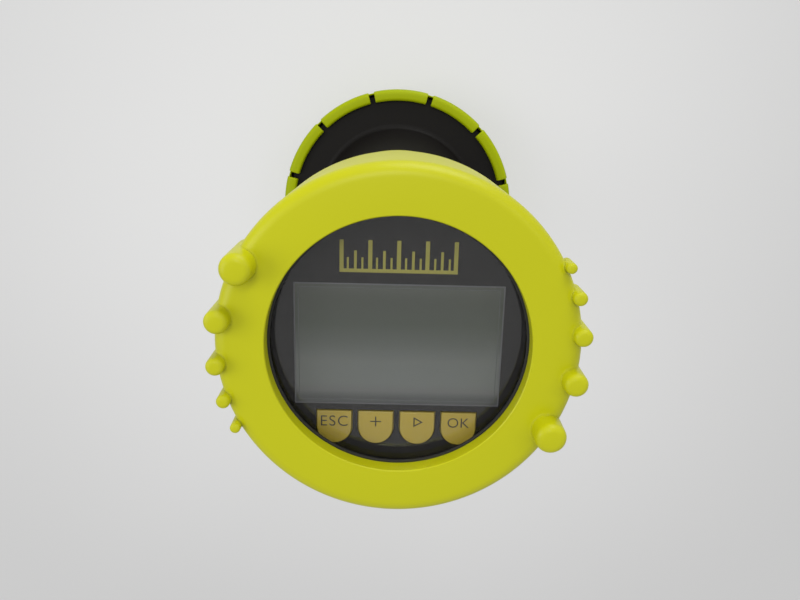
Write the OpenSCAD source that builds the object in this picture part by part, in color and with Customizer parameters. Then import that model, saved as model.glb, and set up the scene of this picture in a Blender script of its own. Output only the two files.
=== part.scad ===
// Radar level transmitter: a horn antenna with its collar and clipped cap below,
// a turning neck, a round housing with two cable entries, and a screwed lid with
// a window over a display and four keys. The axis is Z and the cap's floor is at 0.

/* [Horn antenna] */
// Radius of the spigot in front of the collar
spigot_r = 37.5; // [35:0.5:39]
// Length of the spigot
spigot_h = 18.5; // [14:0.5:24]
// Radius of the collar
collar_r = 56.5; // [53:0.5:62]
// Thickness of the collar
collar_h = 10; // [7:0.5:14]
// Radius of the cone where it meets the collar
cone_r = 38.5; // [36:0.5:41]
// Height of the cone
cone_h = 73; // [60:1:90]
// Radius of the throat above the cone
throat_r = 15; // [14:0.25:16]
// Height of the throat
throat_h = 16; // [12:0.5:22]
// Wall of the spigot around the lens
spigot_wall = 4; // [3:0.25:5]
// Thickness of the lens at its rim
lens_rim_h = 9; // [6:0.5:11]
// Height of the lens's dome over its rim
lens_dome_h = 9; // [5:0.5:12]
// Width of the flat seal under the collar
seal_w = 8.5; // [6:0.5:10]
// Thickness of the flat seal
seal_h = 2; // [1.5:0.25:3]
// Bore of the round waveguide
guide_r = 5.2; // [4:0.1:6]
// Wall of the waveguide
guide_wall = 2.8; // [1.5:0.1:3]

/* [Neck] */
// Radius of the neck under the housing
neck_r = 21; // [20:0.25:22]
// Height of the neck from its foot to the shoulder
neck_h = 22.5; // [18:0.5:28]
// Length of the neck that holds the throat
socket_h = 8; // [6:0.5:10]
// Radius of the spigot that the housing turns on
pivot_r = 14.5; // [13.5:0.25:15]
// Length of the housing's hub on that spigot
hub_h = 15.2; // [13:0.2:18]
// How far the housing turns each way
turn_limit = 165; // [90:5:170]
// Radius of the stop peg
peg_r = 1.2; // [0.8:0.1:1.5]
// Height of the stop peg
peg_h = 3; // [2:0.25:4]
// Thickness of the rubber in the neck's O-ring
neck_oring_d = 2.5; // [2:0.1:3]
// Thickness of the snap ring
snap_h = 1.4; // [1:0.1:2]
// Radius of the microwave module
module_r = 13.5; // [11:0.5:15]
// Height of the microwave module
module_h = 11.5; // [9:0.5:13]

/* [Housing] */
// Wall of the housing under the lid
housing_wall = 5.2; // [4.8:0.1:5.6]
// Wall of the housing where its foot begins to narrow
waist_wall = 3; // [2.6:0.1:4]
// Radius of the housing's foot
foot_r = 22.5; // [22:0.25:24]
// Height of the housing from its foot to the step under the lid
housing_h = 86.4; // [84:0.4:94]
// Height of the foot's straight part
foot_h = 4.2; // [3:0.2:6]
// Height of the narrowing part
flare_h = 21; // [19:0.5:22]
// Gap between the display module and the housing's inside
cavity_gap = 1.5; // [1.1:0.1:2]
// Height of the screwed part that the lid covers
collar_top_h = 21.1; // [19:0.5:24]
// Wall of the screwed part
thread_wall = 2.9; // [2.5:0.1:3.2]
// Height of the cable entries over the housing's foot
entry_h = 64.2; // [63:0.5:66]
// Radius of the bosses around the cable entries
boss_r = 14.2; // [13.5:0.1:14.6]
// Height of the bosses' faces over the housing's side
boss_rise = 3.3; // [2.3:0.25:8]
// Radius of the screwed bores in the bosses
entry_r = 10; // [9.5:0.1:10.4]
// Height of the ground terminal's pad over the housing's side
pad_rise = 2.6; // [2:0.1:4]
// Height of the vent's pad over the housing's side
vent_rise = 1.1; // [0.6:0.1:2]

/* [Lid] */
// Wall of the lid round its screwed bore
lid_wall = 3.3; // [3.1:0.1:4.8]
// Height of the lid
lid_h = 34; // [32:0.5:38]
// Radius of the rounded edge round the lid's face
lid_round = 3; // [2:0.25:4]
// How far the lid's face reaches in over the display module's edge
window_lip = 3.15; // [1.5:0.25:5.5]
// Depth of the opening over the window's gasket
window_depth = 3.7; // [3:0.1:4.5]
// Thickness of the window
window_h = 3; // [2:0.25:4]
// Thickness of the window's gasket
gasket_h = 0.6; // [0.4:0.1:1]
// Height of the ring that holds the window
retainer_h = 2; // [1.5:0.25:2.2]
// Width of the ring that holds the window
retainer_w = 2.25; // [1.5:0.25:2.5]
// Thickness of the rubber in the lid's O-ring
lid_oring_d = 1.7; // [1.4:0.1:2]
// Radius of the largest grip nub
nub_r = 3.6; // [3:0.1:4]
// Height of the largest grip nub over the face
nub_rise = 5.5; // [4:0.25:6.5]
// Length of each grip nub below the face
nub_drop = 14; // [8:0.5:20]
// How far every grip nub stands out of the lid's side
nub_reach = 1.5; // [1:0.1:2]
// Number of grip nubs on each side
nub_count = 5; // [2:1:5]
// Angle of the largest nub of the left row
nub_start = 151.8; // [140:0.2:160]
// Angle between the two largest nubs
nub_step = 19; // [16:0.5:22]

/* [Display] */
// Radius of the display module
display_r = 31.5; // [28:0.1:36]
// Gap between the display's face and the window
display_gap = 1; // [0.8:0.1:1.5]
// Thickness of the face plate
face_h = 1.2; // [1:0.1:1.6]
// Distance from the module's edge to the liquid crystal screen's side
screen_side = 8.4; // [7.5:0.1:11.5]
// Distance from the module's edge to the top of a screen that is set in the middle
screen_end = 17.4; // [17:0.1:19.5]
// Place of the screen's middle below the axis
screen_drop = 1.6; // [0:0.1:2]
// Width of a key, which is as high as it is wide
key_w = 7.8; // [6.6:0.1:8.4]
// Distance from key to key
key_pitch = 9.47; // [9.3:0.01:10]
// Gap between the screen and the keys' flat edges
key_space = 1.75; // [1.5:0.05:2.1]
// Height of the keys over the face
key_proud = 0.5; // [0.3:0.05:0.6]
// Travel of a key
key_travel = 0.6; // [0.4:0.05:0.7]
// Turn that frees the display from its bayonet
bayonet_turn = 25; // [22:1:40]

/* [Electronics] */
// Gap between the electronics pot and the housing's inside
pot_gap = 1.5; // [1:0.25:3]
// Height of the pot
pot_h = 22; // [20:0.5:23]
// Height of the terminal space over the pot
terminal_space_h = 18; // [17:0.5:19]
// Thickness of a circuit board
board_h = 1.6; // [1:0.1:2]
// Number of terminals
terminal_count = 4; // [2:1:4]
// Distance from terminal to terminal
terminal_pitch = 8; // [6.5:0.25:8.5]
// Depth of the terminal block
block_depth = 11; // [9:0.5:12]
// Height of the terminal block
block_h = 13; // [11:0.5:15]

/* [Cable gland] */
// Width of the gland across its flats
gland_af = 24; // [22:0.5:25]
// Thickness of the gland's hexagon
gland_hex_h = 5; // [4:0.25:7]
// Length of the sleeve that the nut runs on
sleeve_h = 8.5; // [7.5:0.25:10]
// Radius of the sleeve
sleeve_r = 9.5; // [9:0.1:9.8]
// Radius of the cable that the seal takes
cable_r = 4.5; // [3.5:0.1:5.5]
// Length of the rubber seal
gland_seal_h = 11.5; // [10:0.25:13]
// Travel of the nut
nut_travel = 6; // [4:0.5:7]

/* [Blind plug] */
// Radius of the plug's head
plug_head_r = 12; // [11.8:0.1:13.5]
// Thickness of the plug's head
plug_head_h = 3.5; // [3:0.25:7]
// Length of the plug's shank
plug_shank_h = 8; // [6:0.5:9]

/* [Protective cap] */
// Wall of the cap
cap_wall = 2; // [1.5:0.1:2.5]
// Wall of the skirt round the collar
skirt_wall = 1.5; // [1.2:0.1:2.5]
// Number of tongues round the cap's lip
tongue_count = 12; // [6:1:16]
// Width of the slit between two tongues
slit_w = 2.7; // [1.5:0.1:4]
// How far the lip reaches over the collar
lip_reach = 3.7; // [2:0.1:5]
// Height of the lip
lip_h = 3.4; // [2.5:0.1:5]
// Angle of the first slit
slit_start = 14.4; // [0:0.2:30]

/* [Clearances] */
// Gap between parts that turn on each other
turn_gap = 0.08; // [0.05:0.01:0.1]
// Gap between parts that pass each other freely
free_gap = 0.3; // [0.25:0.05:0.4]
// Gap round a part that drops into its seat
seat_gap = 0.1; // [0.05:0.05:0.2]

/* [Hidden] */
$fn = 96;
eps = 0.01;
lime = [0.75, 0.80, 0.10];
yellow = [0.85, 0.83, 0.10];
black = [0.11, 0.11, 0.10];
dark = [0.27, 0.26, 0.27];
steel = [0.72, 0.73, 0.74];
brass = [0.80, 0.66, 0.36];
board_green = [0.10, 0.36, 0.20];
amber = [0.80, 0.62, 0.28];

// Radii from the display module outwards
cavity_r = display_r + cavity_gap;
housing_r = cavity_r + housing_wall;
waist_r = cavity_r + waist_wall;
boss_reach = housing_r + boss_rise;
thread_r = cavity_r + thread_wall;
lid_bore_r = thread_r + free_gap;
lid_r = lid_bore_r + lid_wall;
window_r = display_r - window_lip;
pot_r = cavity_r - pot_gap;
screen_w = 2 * (display_r - screen_side);
screen_h = 2 * (display_r - screen_end);
key_drop = screen_drop + screen_h / 2 + key_space;

// Heights from the cap's floor upwards
z_front = cap_wall + 0.5;
z_collar = z_front + spigot_h;
z_collar_top = z_collar + collar_h;
z_throat = z_collar_top + cone_h;
z_throat_top = z_throat + throat_h;
z_neck = z_throat_top - socket_h;
z_shoulder = z_neck + neck_h;
z_foot = z_shoulder + free_gap;
z_cavity = z_foot + hub_h;
z_snap = z_cavity + free_gap;
z_pivot_top = z_snap + snap_h + 2;
z_module_top = z_pivot_top + module_h;
z_step = z_foot + housing_h;
z_rim = z_step + collar_top_h;
z_lid = z_step + 0.6;
z_face = z_lid + lid_h;
z_entry = z_foot + entry_h;

// Antenna
tube_r = guide_r + guide_wall;
tube_bore_r = tube_r + seat_gap;
z_tube = z_throat - 4;
lens_r = spigot_r - spigot_wall;
lens_ledge = 1.5;
z_lens_rim = z_front + lens_rim_h;
seal_r = spigot_r + seal_w;
collar_round = 1.5;
cone_foot_round = 3;
seal_recess = seal_h / 2;

// Neck and its stop
oring_groove_h = neck_oring_d + 0.4;
z_oring = z_foot + hub_h * 0.45;
neck_oring_r = pivot_r + turn_gap - 0.05 - neck_oring_d / 2;
snap_groove_depth = 1.5;
snap_out_r = pivot_r + 3;
peg_ring_r = (neck_r + pivot_r) / 2 + 0.25;
stop_groove_w = 2 * peg_r + 0.8;
stop_web_half = 180 - turn_limit - asin(peg_r / peg_ring_r) - 0.5;

// Housing
hub_bore_r = pivot_r + turn_gap;
cavity_round = 9;
cavity_floor_r = cavity_r - cavity_round;
z_cavity_wall = z_foot + foot_h + flare_h + 3;
z_waist = z_foot + foot_h + flare_h;
screw_inset = 3;
screw_ring_r = pot_r - screw_inset;
ear_h = 4;
screw_r = 1.25;
screw_len = 7.5;
screw_head_r = 2.8;
screw_head_h = 2.5;
slot_w = 0.8;
slot_depth = 1;
nose_r = 4;
nose_h = 5;
tip_r = 2.8;
tip_h = 9.8;
z_pot = z_module_top + 0.6;
z_plate = z_pot + pot_h;
plate_h = 2;
z_main_board = z_pot + 13;
z_terminals = z_plate + plate_h;
z_ring = z_terminals + terminal_space_h;
ring_h = 9;
z_ring_top = z_ring + ring_h;
lug_depth = 1.7;
ring_wall = 4;
turret_inset = 2;
turret_r = pot_r - turret_inset;
turret_edge = -6;
z_terminal_screw = z_terminals + 9;
terminal_screw_r = 2.2;
wire_hole_r = 1.8;
pin_r = 0.7;
pin_pitch = 3;
pin_y = 12;
pad_r = 1.2;
pad_h = 0.6;
tongue_top = 4;
ground_h = 37;
ground_z = z_foot + ground_h;
ground_angle = 225;
ground_screw_r = 1.9;
ground_screw_len = 7;
clamp_w = 11;
clamp_h = 1.5;
vent_hole_r = 3;
vent_head_r = 6.5;
vent_head_h = 3;
vent_angle = 315;
side_wall_r = waist_r + (housing_r - waist_r) * (ground_z - z_waist) / (z_step - z_waist);
pad_reach = side_wall_r + pad_rise;
vent_reach = side_wall_r + vent_rise;

// Lid
retainer_in_r = display_r + 0.6;
seat_r = retainer_in_r + retainer_w;
seat_bore_r = seat_r + seat_gap;
z_gasket = z_face - window_depth - gasket_h;
z_window = z_gasket - window_h;
z_retainer = z_window - retainer_h;
z_ledge = z_rim + lid_oring_d + free_gap;

// Display
z_display = z_window - display_gap;
z_plate_under = z_display - face_h;
z_case = z_ring + 2.2;
z_deck = z_ring_top + 0.2;
deck_h = 2;
case_wall = 2;
face_wall = 1;
bayonet_r = display_r - case_wall - free_gap;
ring_r = bayonet_r - lug_depth;
lug_half = (bayonet_turn - 1) / 2;
z_board = z_plate_under - 8.3;
glass_h = 3;
key_row = [-1.5, -0.5, 0.5, 1.5];
switch_h = 1.4;
switch_w = 4.4;

// Gland and plug
nut_thread_r = sleeve_r + free_gap;
sleeve_wall = 1.95;
gland_seal_r = sleeve_r - sleeve_wall;
face_seal_h = 1.5;
gland_shank_h = 8;
slip_h = 0.8;
y_hex = boss_reach + face_seal_h;
y_sleeve = y_hex + gland_hex_h;
y_sleeve_end = y_sleeve + sleeve_h;
y_seal = y_sleeve_end + 0.5 - gland_seal_h;
y_slip = y_sleeve_end + 0.5 + free_gap;
y_nut = y_sleeve + 0.7;
y_nut_wall = y_slip + slip_h + free_gap;
nut_wall_h = 6;
plug_oring_d = 2;

// Cap
bowl_r = seal_r + 1.5;
skirt_r = collar_r + free_gap;
cap_r = skirt_r + skirt_wall;
z_lip_top = z_collar_top + lip_h;
lip_round = 1.6;
bowl_round = 3;

// Points on an arc about c, as [radius, height] pairs
function arc(c, r, from, to, n = 6) =
    [for (i = [0:n]) c + r * [cos(from + (to - from) * i / n), sin(from + (to - from) * i / n)]];

// A ring of rectangular section
module ring(r_in, r_out, z0, z1) {
    translate([0, 0, z0])
        difference() {
            cylinder(r = r_out, h = z1 - z0);
            translate([0, 0, -1]) cylinder(r = r_in, h = z1 - z0 + 2);
        }
}

// A solid round bar from height z0 to z1
module bar(r, z0, z1) {
    translate([0, 0, z0]) cylinder(r = r, h = z1 - z0);
}

// An O-ring of rubber thickness d on radius r at height z
module oring(r, d, z) {
    translate([0, 0, z]) rotate_extrude() translate([r, 0]) circle(d = d, $fn = 48);
}

// Part of a ring that spans an angle either side of its middle angle
module ring_sector(r_in, r_out, z0, z1, middle, half) {
    translate([0, 0, z0])
        rotate([0, 0, middle - half])
            rotate_extrude(angle = 2 * half) translate([r_in, 0]) square([r_out - r_in, z1 - z0]);
}

// A hexagonal bar across the flats af, with its round chamfer at the far end
module hexagon(af, z0, z1) {
    corner_r = af / 2 / cos(30);
    intersection() {
        translate([0, 0, z0]) cylinder(r = corner_r, h = z1 - z0, $fn = 6);
        translate([0, 0, z0])
            rotate_extrude()
                polygon([
                    [0, 0], [corner_r, 0], [corner_r, z1 - z0 - 1.2], [af / 2 - 0.4, z1 - z0], [0, z1 - z0]
                ]);
    }
}

// Puts a part drawn along Z on the axis of the gland, which points to -Y
module on_gland_axis() {
    translate([0, 0, z_entry]) rotate([90, 0, 0]) children();
}

// Puts a part drawn along Z on the axis of the blind plug, which points to +X
module on_plug_axis() {
    translate([0, 0, z_entry]) rotate([0, 90, 0]) children();
}

// Puts a part drawn along Z on a radial axis low on the housing's side
module on_side(angle) {
    rotate([0, 0, angle]) translate([0, 0, ground_z]) rotate([0, 90, 0]) children();
}

// ---- Antenna side ----

module protective_cap() {
    lip_r = collar_r - lip_reach;
    bowl_out_r = bowl_r + cap_wall;
    slit_bite = 0.25;
    slit_film = 0.6;
    color(lime)
        difference() {
            rotate_extrude()
                polygon(concat(
                    [[0, 0]],
                    arc([bowl_out_r - bowl_round, bowl_round], bowl_round, -90, 0),
                    [[bowl_out_r, z_collar - cap_wall], [cap_r, z_collar - cap_wall]],
                    arc([cap_r - lip_round, z_lip_top - lip_round], lip_round, 0, 90),
                    arc([lip_r + lip_round, z_lip_top - lip_round], lip_round, 90, 180),
                    [[lip_r, z_collar_top], [skirt_r, z_collar_top], [skirt_r, z_collar], [bowl_r, z_collar]],
                    [[bowl_r, cap_wall + 1], [bowl_r - 1, cap_wall], [0, cap_wall]]
                ));
            for (i = [0:tongue_count - 1])
                rotate([0, 0, slit_start + i * 360 / tongue_count]) {
                    translate([lip_r - 1, -slit_w / 2, z_collar_top - slit_bite])
                        cube([skirt_r - lip_r + 1 + slit_bite, slit_w, lip_h + 1]);
                    translate([skirt_r + slit_bite + slit_film + slit_w / 2, 0, z_collar])
                        cylinder(r = slit_w / 2, h = z_lip_top);
                }
        }
}

module horn_antenna() {
    color(black)
        rotate_extrude()
            polygon(concat(
                [[lens_r, z_front], [spigot_r - 1, z_front], [spigot_r, z_front + 1]],
                [[spigot_r, z_collar + seal_recess], [seal_r + seat_gap, z_collar + seal_recess]],
                [[seal_r + seat_gap, z_collar], [collar_r - 1, z_collar], [collar_r, z_collar + 1]],
                arc([collar_r - collar_round, z_collar_top - collar_round], collar_round, 0, 90),
                arc([cone_r + cone_foot_round, z_collar_top + cone_foot_round], cone_foot_round, -90, -163),
                [[throat_r, z_throat], [throat_r, z_throat_top], [tube_bore_r, z_throat_top]],
                [[tube_bore_r, z_tube], [guide_r, z_tube], [lens_r - lens_ledge, z_collar_top]],
                [[lens_r - lens_ledge, z_lens_rim], [lens_r, z_lens_rim]]
            ));
}

module antenna_lens() {
    dome_base = lens_r - lens_ledge - 1;
    dome_r = (dome_base * dome_base + lens_dome_h * lens_dome_h) / (2 * lens_dome_h);
    dome_z = z_lens_rim + lens_dome_h - dome_r;
    color("white")
        rotate_extrude()
            polygon(concat(
                [[0, z_front], [lens_r, z_front], [lens_r, z_lens_rim]],
                arc([0, dome_z], dome_r, asin((z_lens_rim - dome_z) / dome_r), 90, 8)
            ));
}

module collar_seal() {
    color(black) ring(spigot_r + seat_gap, seal_r, z_collar + seal_recess - seal_h, z_collar + seal_recess);
}

module feed_tube() {
    color(brass) ring(guide_r, tube_r, z_tube, z_pivot_top);
}

module neck_adapter() {
    socket_r = throat_r + seat_gap;
    neck_foot_r = socket_r + 2.5;
    groove_r = neck_oring_r - neck_oring_d / 2 - 0.03;
    snap_groove_r = pivot_r - snap_groove_depth;
    color(black) {
        rotate_extrude()
            polygon([
                [socket_r, z_neck], [neck_foot_r, z_neck], [neck_r, z_neck + 5], [neck_r, z_shoulder - 6],
                [neck_r - 1, z_shoulder - 5], [neck_r - 1, z_shoulder - 4], [neck_r, z_shoulder - 3],
                [neck_r, z_shoulder - 0.6], [neck_r - 0.6, z_shoulder], [pivot_r, z_shoulder],
                [pivot_r, z_oring - oring_groove_h / 2], [groove_r, z_oring - oring_groove_h / 2],
                [groove_r, z_oring + oring_groove_h / 2], [pivot_r, z_oring + oring_groove_h / 2],
                [pivot_r, z_snap], [snap_groove_r, z_snap], [snap_groove_r, z_snap + snap_h],
                [pivot_r, z_snap + snap_h], [pivot_r, z_pivot_top - 0.6], [pivot_r - 0.6, z_pivot_top],
                [tube_bore_r, z_pivot_top], [tube_bore_r, z_throat_top], [socket_r, z_throat_top]
            ]);
        rotate([0, 0, 90]) translate([peg_ring_r, 0, 0]) bar(peg_r, z_shoulder - 1, z_shoulder + peg_h);
    }
}

module neck_oring() {
    color(black) oring(neck_oring_r, neck_oring_d, z_oring);
}

module neck_snap_ring() {
    color(steel)
        ring_sector(pivot_r - snap_groove_depth + seat_gap, snap_out_r, z_snap, z_snap + snap_h, 90, 162);
}

module microwave_module() {
    color(steel)
        rotate_extrude()
            polygon([
                [0, z_pivot_top], [module_r, z_pivot_top], [module_r, z_pivot_top + 2],
                [module_r - 1, z_pivot_top + 2], [module_r - 1, z_module_top - 2],
                [module_r, z_module_top - 2], [module_r, z_module_top],
                [nose_r, z_module_top], [nose_r, z_module_top + nose_h],
                [tip_r, z_module_top + nose_h], [tip_r, z_module_top + tip_h], [0, z_module_top + tip_h]
            ]);
}

// ---- Housing ----

// A quarter of an ellipse from [r0, z0], flat at first and upright at [r1, z1]
function bowl(r0, z0, r1, z1, n = 8) =
    [for (i = [0:n]) [r0 + (r1 - r0) * sin(90 * i / n), z1 - (z1 - z0) * cos(90 * i / n)]];

module housing_body() {
    screw_boss_r = 3.4;
    color(yellow) {
        difference() {
            union() {
                rotate_extrude()
                    polygon(concat(
                        [[0, z_foot], [foot_r - 0.8, z_foot], [foot_r, z_foot + 0.8]],
                        bowl(foot_r, z_foot + foot_h, waist_r, z_waist),
                        [[housing_r, z_step - 0.8], [housing_r - 0.8, z_step], [thread_r, z_step]],
                        [[thread_r, z_rim - 0.8], [thread_r - 0.8, z_rim], [0, z_rim]]
                    ));
                on_gland_axis() entry_boss();
                on_plug_axis() entry_boss();
                on_side(ground_angle) bar(7.5, cavity_floor_r, pad_reach);
                on_side(vent_angle) bar(8.5, cavity_floor_r, vent_reach);
            }
            rotate_extrude()
                polygon(concat(
                    [[0, z_cavity]],
                    bowl(cavity_floor_r, z_cavity, cavity_r, z_cavity_wall),
                    [[cavity_r, z_rim + 1], [0, z_rim + 1]]
                ));
            bar(hub_bore_r, z_foot - 1, z_cavity + 1);
            stop_groove();
            on_gland_axis() bar(entry_r, cavity_floor_r, boss_reach + 1);
            on_plug_axis() {
                bar(entry_r, cavity_floor_r, boss_reach + 1);
                bar(entry_r + plug_oring_d + 0.2, boss_reach - plug_oring_d - free_gap, boss_reach + 1);
            }
            on_side(ground_angle)
                bar(ground_screw_r + seat_gap, pad_reach - ground_screw_len - 1, pad_reach + 1);
            on_side(vent_angle) bar(vent_hole_r, cavity_floor_r, vent_reach + 1);
        }
        for (side = [-1, 1])
            translate([side * screw_ring_r, 0, 0])
                difference() {
                    bar(screw_boss_r, z_cavity + 6, z_pot);
                    bar(screw_r + 0.05, z_pot - screw_len - 0.5, z_pot + 1);
                }
    }
}

// The boss round a cable entry, with its rounded face edge
module entry_boss() {
    rotate_extrude()
        polygon(concat(
            [[0, cavity_floor_r], [boss_r, cavity_floor_r]],
            arc([boss_r - 1.2, boss_reach - 1.2], 1.2, 0, 90),
            [[0, boss_reach]]
        ));
}

// The groove under the foot that the stop peg runs in, and the web that it meets
module stop_groove() {
    ring_sector(
        peg_ring_r - stop_groove_w / 2, peg_ring_r + stop_groove_w / 2, z_foot - 1, z_foot + peg_h + 0.4,
        90, 180 - stop_web_half
    );
}

module electronics_pot() {
    well_r = screw_ring_r - 5;
    color(dark)
        difference() {
            bar(pot_r, z_pot, z_plate);
            bar(nose_r + free_gap, z_pot - 1, z_pot + nose_h);
            bar(tip_r + free_gap, z_pot - 1, z_pot + tip_h);
            bar(well_r - 1.5, z_main_board - 2, z_plate + 1);
            bar(well_r, z_main_board, z_plate + 1);
            screw_channels(z_pot + ear_h);
            for (side = [-1, 1])
                translate([side * screw_ring_r, 0, 0]) bar(screw_r + 0.45, z_pot - 1, z_plate);
        }
}

// The two upright channels that leave room for the screws and a screwdriver
module screw_channels(z_from) {
    for (side = [-1, 1])
        translate([side * screw_ring_r, 0, 0]) bar(screw_head_r + 0.8, z_from, z_ring_top + 1);
}

module main_board() {
    color(board_green) bar(screw_ring_r - 5 - seat_gap, z_main_board, z_main_board + board_h);
}

module terminal_carrier() {
    spigot_out_r = screw_ring_r - 5 - seat_gap;
    color(dark)
        difference() {
            union() {
                bar(pot_r, z_plate, z_terminals);
                ring(spigot_out_r - 2.5, spigot_out_r, z_plate - 3, z_plate + 1);
                intersection() {
                    bar(turret_r, z_terminals - 1, z_ring);
                    translate([-turret_r, turret_edge, z_plate])
                        cube([2 * turret_r, 2 * turret_r, pot_h * 2]);
                }
                for (side = [-1, 1])
                    translate([side * 22, -14, 0]) bar(3, z_terminals - 1, z_ring + 1);
                ring(ring_r - ring_wall, ring_r, z_ring - 0.5, z_ring_top);
                for (i = [0:3])
                    ring_sector(
                        ring_r - 1, bayonet_r, z_ring_top - 2.2, z_ring_top - 0.2, 45 + 90 * i, lug_half
                    );
                translate([-2 * pin_pitch - 1, pin_y - 3, z_ring - 1])
                    cube([4 * pin_pitch + 2, 6, tongue_top + 1]);
            }
            screw_channels(z_plate - 1);
        }
}

module terminal_block() {
    block_w = terminal_count * terminal_pitch + 2;
    block_y = turret_edge - 1 - block_depth;
    color([0.45, 0.47, 0.45])
        difference() {
            translate([-block_w / 2, block_y, z_terminals]) cube([block_w, block_depth, block_h]);
            for (i = [0:terminal_count - 1])
                translate([terminal_x(i), block_y, 0]) {
                    translate([0, -1, z_terminals + 5])
                        rotate([-90, 0, 0])
                            cylinder(r = wire_hole_r, h = block_depth * 0.8);
                    translate([0, block_depth / 2, 0])
                        bar(terminal_screw_r + seat_gap, z_terminal_screw, z_terminals + block_h + 1);
                }
        }
}

function terminal_x(i) = (i - (terminal_count - 1) / 2) * terminal_pitch;

module terminal_screws() {
    color(steel)
        for (i = [0:terminal_count - 1])
            translate([terminal_x(i), turret_edge - 1 - block_depth / 2, 0])
                difference() {
                    bar(terminal_screw_r, z_terminal_screw, z_terminal_screw + screw_head_h);
                    translate([-4, -slot_w / 2, z_terminal_screw + screw_head_h - slot_depth])
                        cube([8, slot_w, slot_depth + 1]);
                }
}

module insert_screws() {
    head_z = z_pot + ear_h;
    color(steel)
        for (side = [-1, 1])
            translate([side * screw_ring_r, 0, 0])
                difference() {
                    union() {
                        bar(screw_r, z_pot - screw_len, head_z + 1);
                        bar(screw_head_r, head_z, head_z + screw_head_h);
                    }
                    translate([-4, -slot_w / 2, head_z + screw_head_h - slot_depth])
                        cube([8, slot_w, slot_depth + 1]);
                }
}

module contact_pins() {
    color(brass)
        for (i = key_row)
            translate([i * pin_pitch, pin_y, 0]) bar(pin_r, z_ring + tongue_top, z_deck - free_gap);
}

// ---- Cable gland ----

module gland_body() {
    color([0.16, 0.16, 0.16])
        on_gland_axis()
            difference() {
                union() {
                    bar(entry_r - seat_gap, boss_reach - gland_shank_h, y_hex + 1);
                    hexagon(gland_af, y_hex, y_sleeve);
                    bar(sleeve_r, y_sleeve - 1, y_sleeve_end);
                }
                bar(gland_seal_r - 1, boss_reach - gland_shank_h - 1, y_sleeve_end);
                bar(gland_seal_r + seat_gap / 2, y_seal, y_sleeve_end + 1);
            }
}

module gland_face_seal() {
    color(black) on_gland_axis() ring(entry_r, entry_r + 3, boss_reach, y_hex);
}

module gland_seal_insert() {
    color([0.22, 0.22, 0.22])
        on_gland_axis() ring(cable_r, gland_seal_r, y_seal, y_seal + gland_seal_h);
}

module gland_slip_washer() {
    color("white") on_gland_axis() ring(cable_r + 0.8, sleeve_r, y_slip, y_slip + slip_h);
}

module gland_nut() {
    nut_end = y_nut_wall + nut_wall_h;
    corner_r = gland_af / 2 / cos(30);
    mouth_r = cable_r + 1.2;
    color([0.16, 0.16, 0.16])
        on_gland_axis()
            difference() {
                intersection() {
                    translate([0, 0, y_nut]) cylinder(r = corner_r, h = nut_end - y_nut, $fn = 6);
                    rotate_extrude()
                        polygon(concat(
                            [[0, y_nut], [corner_r - 0.8, y_nut], [corner_r, y_nut + 0.8]],
                            arc([corner_r - 6, nut_end - 6], 6, 0, 78),
                            [[0, nut_end]]
                        ));
                }
                bar(nut_thread_r, y_nut - 1, y_nut_wall);
                bar(mouth_r, y_nut, nut_end + 1);
            }
}

// ---- Blind plug ----

module blind_plug() {
    head_z = boss_reach + free_gap;
    shank_r = entry_r - 0.4;
    color(black)
        on_plug_axis()
            difference() {
                rotate_extrude()
                    polygon(concat(
                        [[0, head_z - plug_shank_h], [shank_r - 1, head_z - plug_shank_h]],
                        [[shank_r, head_z - plug_shank_h + 1], [shank_r, head_z]],
                        [[plug_head_r - 0.5, head_z], [plug_head_r, head_z + 0.5]],
                        arc([plug_head_r - 1.5, head_z + plug_head_h - 1.5], 1.5, 0, 90),
                        [[0, head_z + plug_head_h]]
                    ));
                translate([-plug_head_r + 3, -1.25, head_z + plug_head_h - 2])
                    cube([2 * plug_head_r - 6, 2.5, 3]);
            }
}

module plug_oring() {
    color(black) on_plug_axis() oring(entry_r + 0.9, plug_oring_d, boss_reach - plug_oring_d / 2);
}

// ---- Small parts on the housing's side ----

module vent_cap() {
    seat = vent_reach;
    shank_r = vent_hole_r - seat_gap;
    color(black)
        on_side(vent_angle)
            rotate_extrude()
                polygon([
                    [0, seat - 4], [shank_r, seat - 4], [shank_r, seat], [vent_head_r, seat],
                    [vent_head_r, seat + vent_head_h - 1], [vent_head_r - 1, seat + vent_head_h],
                    [2, seat + vent_head_h], [2, seat + vent_head_h - 1], [0, seat + vent_head_h - 1]
                ]);
}

module ground_clamp() {
    color(steel)
        on_side(ground_angle)
            difference() {
                union() {
                    translate([-clamp_w / 2, -clamp_w / 2, pad_reach]) cube([clamp_w, clamp_w, clamp_h]);
                    for (side = [-1, 1])
                        translate([-clamp_w / 2, side * (clamp_w - 1.5) / 2 - 0.75, pad_reach])
                            cube([clamp_w, 1.5, 2 * clamp_h]);
                }
                bar(ground_screw_r + free_gap, pad_reach - 1, pad_reach + 2 * clamp_h);
            }
}

module ground_screw() {
    head = pad_reach + clamp_h;
    color(steel)
        on_side(ground_angle)
            difference() {
                union() {
                    bar(ground_screw_r, pad_reach - ground_screw_len, head + 1);
                    translate([0, 0, head])
                        cylinder(r1 = 2 * ground_screw_r, r2 = 2 * ground_screw_r - 0.6, h = screw_head_h);
                }
                translate([-5, -0.5, head + screw_head_h - slot_depth]) cube([10, 1, slot_depth + 1]);
            }
}

// ---- Display module ----

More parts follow.
